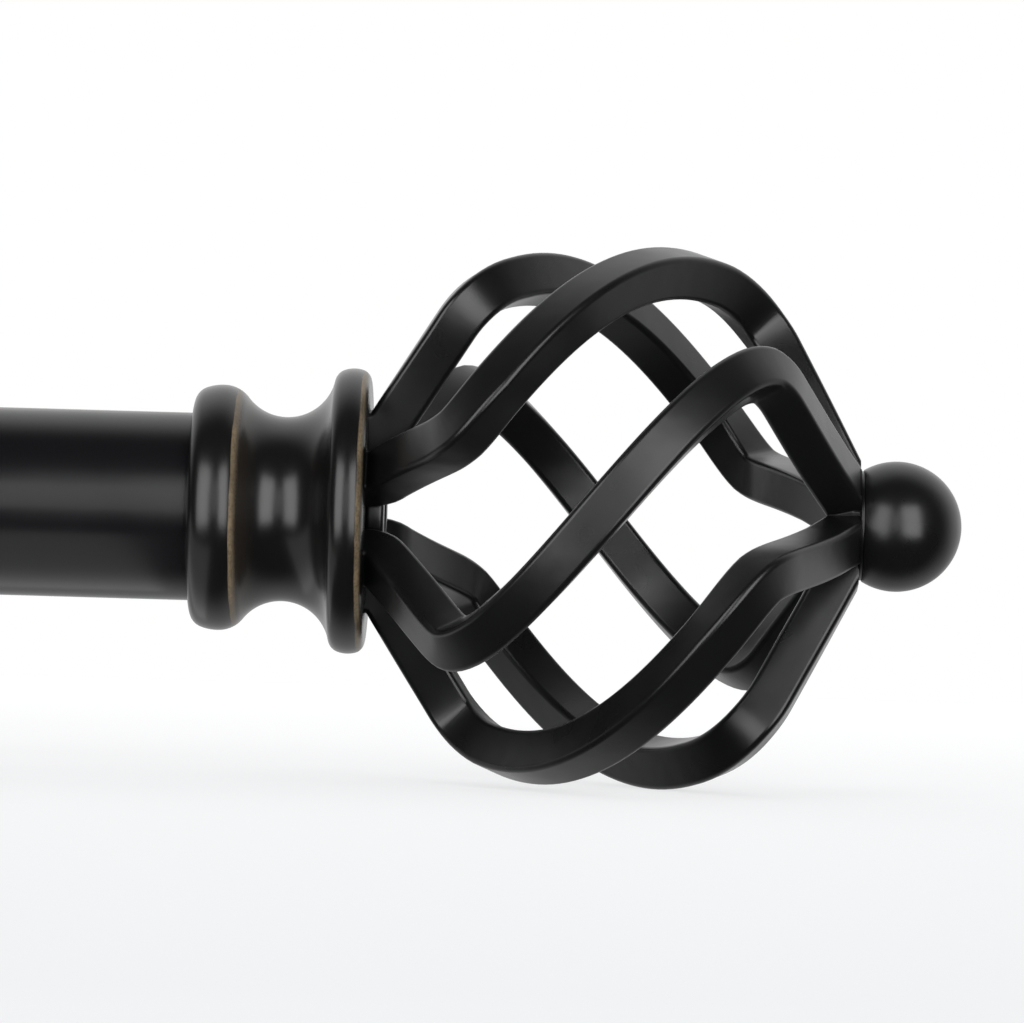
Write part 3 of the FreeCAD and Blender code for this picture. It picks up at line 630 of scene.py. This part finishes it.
# --- Brackets --------------------------------------------------------------------------------------
# Two adjustable wall brackets: a pressed plate with a welded sleeve, a bar sliding in it and an open
# cradle on the bar's end. Mild steel, powder coated with the rod.
def slab(name, outline, thickness, at, across, along, bevel=0.6, holes=()):
    """A flat outline given thickness with rounded edges; across and along are its own x and y directions."""
    curve = bpy.data.curves.new(name, "CURVE")
    curve.dimensions = "2D"
    curve.fill_mode = "BOTH"
    for ring in (outline,) + tuple(holes):
        spline = curve.splines.new("POLY")
        spline.points.add(len(ring) - 1)
        spline.use_cyclic_u = True
        for point, (u, v) in zip(spline.points, ring):
            point.co = (u * MM, v * MM, 0, 1)
    curve.offset = -bevel * MM
    curve.bevel_depth = bevel * MM
    curve.bevel_resolution = 2
    curve.extrude = (thickness / 2 - bevel) * MM
    solid = bpy.data.objects.new(name + "_curve", curve)
    bpy.context.scene.collection.objects.link(solid)
    ready = solid.evaluated_get(bpy.context.evaluated_depsgraph_get())
    mesh = bpy.data.meshes.new_from_object(ready)
    bpy.data.objects.remove(solid)
    across, along = Vector(across), Vector(along)
    stood = Matrix((across, along, across.cross(along))).transposed().to_4x4()
    mesh.transform(Matrix.Translation(Vector(at) * MM) @ stood)
    return outward(bpy.data.objects.new(name, mesh), 50)


def circle(u, v, radius, steps=48, start=0.0, end=360.0):
    """Points round a circle or along part of it."""
    gaps = steps if abs(end - start) >= 360 else steps - 1
    angles = [radians(start + (end - start) * step / gaps) for step in range(steps)]
    return [(u + radius * cos(a), v + radius * sin(a)) for a in angles]


def upright(name, outline, at, towards, steps=64):
    """A closed outline of (x, r) spun round X, then stood so that +X points another way."""
    piece = turned(name, outline, steps)
    turn = Vector((1, 0, 0)).rotation_difference(Vector(towards)).to_matrix().to_4x4()
    piece.data.transform(Matrix.Translation(Vector(at) * MM) @ turn)
    return piece


def merged(name, *pieces):
    """Several pieces of one body joined into one mesh."""
    work = bmesh.new()
    for piece in pieces:
        work.from_mesh(piece.data)
        bpy.data.objects.remove(piece)
    return as_piece(work, name, 40)


def weld(name, spots, radius):
    """A row of small overlapping weld ripples laid along a line of points."""
    work = bmesh.new()
    for number, spot in enumerate(spots):
        ripple = radius * (0.94 + 0.06 * (number % 2))
        bmesh.ops.create_icosphere(work, subdivisions=2, radius=ripple * MM,
                                   matrix=Matrix.Translation(Vector(spot) * MM))
    return as_piece(work, name, 60)


def tapped_boss(x, y, start, end):
    """A short tapped boss that hangs under the bracket for a thumbscrew."""
    section = softened(ring_section(start, end, 4.5, 2.05), 0.4)
    return upright("boss", section, (x, y, 0), (0, 0, -1))


wall, plate_thickness, plate_tall, plate_round = 89.0, 3.0, 72, 12
screw_hole, screw_up = 3.0, 26
sleeve_front, sleeve_back, sleeve_outer, sleeve_bore = 28, 86, 8.0, 6.08
arm_front, arm_back, arm_radius = 15.2, 82, 6
cradle_inner, cradle_outer, cradle_wide, cradle_top = 13, 16, 16.0, 5
boss_y, boss_foot = 36, 4.4
for side in SIDES:
    low, high = extent("wall_plate_" + side)
    x = (low[0] + high[0]) / 2
    straight = plate_tall / 2 - plate_round
    rim = circle(0, straight, plate_round, 33, 0, 180) + circle(0, -straight, plate_round, 33, 180, 360)
    holes = [circle(0, z, screw_hole, 40) for z in (screw_up, -screw_up)]
    plate = slab("wall_plate_pressing_" + side, rim, plate_thickness, (x, wall - plate_thickness / 2, 0),
                 (1, 0, 0), (0, 0, 1), 0.6, holes)
    fixed(plate, "wall_side", powder_coat, "bracket_black", "wall_plate_" + side)

    barrel_section = softened(ring_section(sleeve_front, sleeve_back, sleeve_outer, sleeve_bore), 0.5)
    barrel = upright("barrel", barrel_section, (x, 0, 0), (0, 1, 0))
    joint = [(x + sleeve_outer * cos(a), sleeve_back - 0.4, sleeve_outer * sin(a)) for a in turns(44)]
    foot = []
    for a in turns(26):
        u, v = boss_foot * cos(a), boss_foot * sin(a)
        foot.append((x + u, boss_y + v, -sqrt(sleeve_outer ** 2 - u ** 2) - 0.1))
    sleeve = merged("sleeve_tube_" + side, barrel, tapped_boss(x, boss_y, 7.4, 11.5),
                    weld("sleeve_weld", joint, 0.75), weld("boss_weld", foot, 0.55))
    fixed(sleeve, "wall_side", powder_coat, "bracket_black", "sleeve_" + side)

    # the cradle's strip in outline: its inside, one rounded lip, its outside and the other lip
    inner = circle(0, 0, cradle_inner, 45, 180, 360)
    outer = circle(0, 0, cradle_outer, 49, 360, 180)
    lip = [(cradle_inner, 4.4), (13.4, 4.9), (14.5, cradle_top), (15.6, 4.9), (cradle_outer, 4.4)]
    strip = [(-u, v) for u, v in lip[::-1]] + inner + lip + outer
    shape = slab("cradle_strip", strip, cradle_wide, (x, 0, 0), (0, 1, 0), (0, 0, 1), 0.5)
    foot = []
    for a in turns(26):
        u, v = boss_foot * cos(a), boss_foot * sin(a)
        foot.append((x + u, v, -sqrt(cradle_outer ** 2 - v ** 2)))
    cradle = merged("cradle_strap_" + side, shape, tapped_boss(x, 0, 15.2, 19.5),
                    weld("boss_weld", foot, 0.55))
    fixed(cradle, "arm_" + side, powder_coat, "bracket_black", "cradle_" + side)

    bar_section = softened(ring_section(arm_front, arm_back, arm_radius, 0), 0.5)
    bar_end = upright("bar_end", bar_section, (x, 0, 0), (0, 1, 0))
    joint = []
    for a in turns(36):
        u, z = arm_radius * cos(a), arm_radius * sin(a)
        if z < cradle_top:
            joint.append((x + u, sqrt(cradle_outer ** 2 - min(z, 0) ** 2), z))
    arm = merged("sliding_arm_" + side, bar_end, weld("arm_weld", joint, 0.7))
    fixed(arm, "arm_" + side, powder_coat, "bracket_black", "arm_" + side)

# --- Thumbscrews -----------------------------------------------------------------------------------
# M4 thumbscrews with a knurled grip: one under each cradle locks the rod, one under each sleeve the
# arm. Blackened steel; the knurling is rolled in all round.
oxide, tree, shader, place = finish("black oxide on steel", "#1b1b1d", 0.34, metallic=0.3)
polished(tree, shader, noise(tree, place, 1.2, 3.0), 0.28, 0.42)

# ridges stood round an upright grip
knurl, given, result = node_tree("knurled grip", (
    ("Grip", "NodeSocketGeometry"), ("Ridges", "NodeSocketInt"), ("Radius", "NodeSocketFloat"),
    ("Ridge", "NodeSocketFloat"), ("Height", "NodeSocketFloat"), ("Paint", "NodeSocketMaterial")))
ridge = add(knurl, "GeometryNodeMeshCylinder", Vertices=8, Radius=given.outputs["Ridge"],
            Depth=given.outputs["Height"])
outwards = add(knurl, "ShaderNodeCombineXYZ", X=given.outputs["Radius"])
moved = add(knurl, "GeometryNodeTransform", Geometry=ridge.outputs[0], Translation=outwards.outputs[0])
ridges = round_about(knurl, given, "Ridges", (0, 0, 1), moved.outputs[0])
both = add(knurl, "GeometryNodeJoinGeometry")
knurl.links.new(ridges, both.inputs[0])
knurl.links.new(given.outputs["Grip"], both.inputs[0])
completed(knurl, both.outputs[0], given, result)

screw_radius, screw_depth, screw_pitch = 2.0, 0.35, 0.7
grip_radius, socket, socket_floor = 5.0, 2.06, 2.0
ridge_line, ridge_radius, ridge_short = 4.95, 0.5, 1.4
for side in SIDES:
    for lock in ("rod_lock_", "arm_lock_"):
        name = lock + side
        low, high = extent(name + "_stud")
        x, y = (low[0] + high[0]) / 2, (low[1] + high[1]) / 2
        shank = threaded(lock + "screw_" + side, screw_radius, screw_depth, screw_pitch,
                         high[2] - low[2], (x, y, high[2]), (0, 0, -1), 24)
        fixed(shank, name + "_stud", oxide, "black_steel", name + "_stud")
        low, high = extent(name + "_knob")
        tall = high[2] - low[2]
        corners = [(0, 0), (0, grip_radius), (tall, grip_radius), (tall, socket), (socket_floor, socket),
                   (socket_floor, 0)]
        # the four corners off the axis are rounded, the two on it stay sharp
        section = softened(corners, 0.45)[4:-4] + [(socket_floor, 0), (0, 0)]
        grip = upright(lock + "grip_" + side, section, (0, 0, 0), (0, 0, 1), 48)
        grip.data.transform(Matrix.Translation((0, 0, -tall / 2 * MM)))
        grown(grip, knurl, Ridges=28, Radius=ridge_line * MM, Ridge=ridge_radius * MM,
              Height=(tall - ridge_short) * MM, Paint=oxide)
        grip.data.transform(Matrix.Translation(Vector((x, y, (low[2] + high[2]) / 2)) * MM))
        outward(grip, 30)
        fixed(grip, name + "_knob", oxide, "black_steel", name + "_knob")

# --- Wall screws -----------------------------------------------------------------------------------
# Four round-headed slotted wood screws, 3.5 mm, blackened: two through each plate. The head sits
# proud of the plate and the thread runs nearly its whole length into the wall.
screw_radius, screw_depth, screw_pitch = 1.75, 0.4, 1.6
head_tall, slot_half, slot_floor, shank_start = 2.2, 0.45, 1.2, 2.0
head_steps = 64
# the head's radius and height from its crown down to the shank
dome = [(1.2, 2.1), (2.2, 1.75), (3.0, 1.1), (3.5, 0.3), (3.5, 0.0), (1.6, 0.0)]
for side in SIDES:
    for where in ("upper", "lower"):
        node = "wall_screw_%s_%s" % (where, side)
        low, high = extent(node)
        x, z = (low[0] + high[0]) / 2, (low[2] + high[2]) / 2
        front, tip = low[1], high[1]
        work = bmesh.new()
        rings = []
        for r, height in dome:
            ring = []
            for a in turns(head_steps):
                u, v = r * cos(a), r * sin(a)
                slotted = min(height, slot_floor) if abs(v) < slot_half else height
                ring.append(work.verts.new(Vector((x + u, front + head_tall - slotted, z + v)) * MM))
            rings.append(ring)
        pole = work.verts.new(Vector((x, front + head_tall - slot_floor, z)) * MM)
        for step in range(head_steps):
            ahead = (step + 1) % head_steps
            work.faces.new((pole, rings[0][step], rings[0][ahead]))
            for first, second in zip(rings, rings[1:]):
                work.faces.new((first[step], second[step], second[ahead], first[ahead]))
        work.faces.new(rings[-1])
        head = as_piece(work, "head", 40)
        shank = threaded("shank", screw_radius, screw_depth, screw_pitch, tip - front - shank_start,
                         (x, front + shank_start, z), (0, 1, 0), 24)
        screw = merged("wood_screw_%s_%s" % (where, side), head, shank)
        fixed(screw, "wall_side", oxide, "black_steel", node)

# --- Floor, backdrop and light ---------------------------------------------------------------------
# A white board lies under the rod in a white room whose back is bright and whose front is dark. Two
# tall soft windows and the dim wall between them light the black metal from the front; a wide lamp
# overhead lifts the board and is not mirrored in anything. The board also glows by itself: painted
# light that brightens towards the back and thins the shadows on it.
board, tree, shader, place = finish("white laminate board", "#8c8d8e", 0.6, specular=0.0)
depth = add(tree, "ShaderNodeSeparateXYZ", Vector=place).outputs["Y"]
# painted light: the board's own glow runs from light grey at the front to near white at the back, standing
# in for light falling on it and softening its shadows
painted_glow = blended(tree, spread(tree, depth, -0.36, 0.45), linear("#cbcccd"), linear("#eeeeee"))
tree.links.new(painted_glow, shader.inputs["Emission Color"])
shader.inputs["Emission Strength"].default_value = 1.0

baskets = [o for o in bpy.data.objects if o.name.startswith("basket_") and o.type == "MESH"]
ground = min(v.co.z for basket in baskets for v in basket.data.vertices)
left_edge, right_edge, front_edge, back_edge = -3, 4, -1.6, 0.447
mesh = bpy.data.meshes.new("board")
mesh.from_pydata([(left_edge, front_edge, ground), (right_edge, front_edge, ground),
                  (right_edge, back_edge, ground), (left_edge, back_edge, ground)], [], [(0, 1, 2, 3)])
mesh.materials.append(board)
floor = bpy.data.objects.new("board", mesh)
bpy.context.scene.collection.objects.link(floor)
floor.visible_glossy = False

world = bpy.data.worlds.new("room")
bpy.context.scene.world = world
world.use_nodes = True
tree = world.node_tree
room = tree.nodes["Background"]
room.inputs["Color"].default_value = (1, 1, 1, 1)
backdrop = add(tree, "ShaderNodeBackground", Color=(1, 1, 1, 1), Strength=1.0)
way = add(tree, "ShaderNodeTexCoord")
split = add(tree, "ShaderNodeSeparateXYZ", Vector=way.outputs["Generated"])
behind = spread(tree, split.outputs["Y"], -0.1, 0.55, 0.015, 1.0, "SMOOTHSTEP")
below = spread(tree, split.outputs["Z"], -0.5, 0.1, 0.55, 1.0, "SMOOTHSTEP")
tree.links.new(maths(tree, "MULTIPLY", behind, below), room.inputs["Strength"])
rays = add(tree, "ShaderNodeLightPath")
mix = add(tree, "ShaderNodeMixShader", _0=rays.outputs["Is Camera Ray"], _1=room.outputs[0],
          _2=backdrop.outputs[0])
tree.links.new(mix.outputs[0], tree.nodes["World Output"].inputs["Surface"])


def window(name, azimuth, elevation, away, width, height, brightness, centre, mirrored=True):
    """A soft rectangular light aimed at a point; azimuth 0 is straight in front, positive to the right."""
    lamp = bpy.data.lights.new(name, "AREA")
    lamp.shape = "RECTANGLE"
    lamp.size, lamp.size_y = width, height
    lamp.energy = brightness * pi * width * height
    light = bpy.data.objects.new(name, lamp)
    bpy.context.scene.collection.objects.link(light)
    a, e = radians(azimuth), radians(elevation)
    way = Vector((sin(a) * cos(e), -cos(a) * cos(e), sin(e)))
    light.location = Vector(centre) + way * away
    light.rotation_euler = (-way).to_track_quat("-Z", "Y").to_euler()
    light.visible_camera = False
    light.visible_glossy = mirrored
    return light


subject = ((face + widest_x) * MM, 0, 0)
window("left_window", -30, 10, 1.6, 0.85, 1.6, 3.9, subject)
window("right_window", 27, 10, 1.6, 0.95, 1.6, 4.1, subject)
window("wall_between", -2, 9, 1.7, 0.46, 1.0, 1.3, subject)
window("overhead", 0, 70, 1.6, 2.0, 1.2, 1.2, subject, mirrored=False)
# light thrown back by the board, on the underside of the tube: it lies on the board and shines up
bounce = window("board_bounce", 0, 0, 0, 0.805, 0.07, 0.6, (-0.05, -0.02, ground + 0.001))
bounce.rotation_euler = (pi, 0, 0)

# --- Camera ----------------------------------------------------------------------------------------
# A long lens level with the rod, turned about a degree to one side and tipped a little more.
yaw, roll, distance = 0.0165, radians(1.65), 0.835
aside, raised = 0.01335, 0.00095
right = Vector((cos(roll) * cos(yaw), cos(roll) * sin(yaw), sin(roll)))
up = Vector((-sin(roll) * cos(yaw), -sin(roll) * sin(yaw), cos(roll)))
back = right.cross(up)
lens = bpy.data.cameras.new("camera")
lens.lens = 217.2
lens.sensor_width = 36
lens.clip_start, lens.clip_end = 0.01, 50
camera = bpy.data.objects.new("camera", lens)
bpy.context.scene.collection.objects.link(camera)
camera.matrix_world = Matrix((right, up, back)).transposed().to_4x4()
camera.location = Vector(subject) - right * aside + up * raised + back * distance
bpy.context.scene.camera = camera
bpy.context.scene.view_settings.view_transform = "Standard"
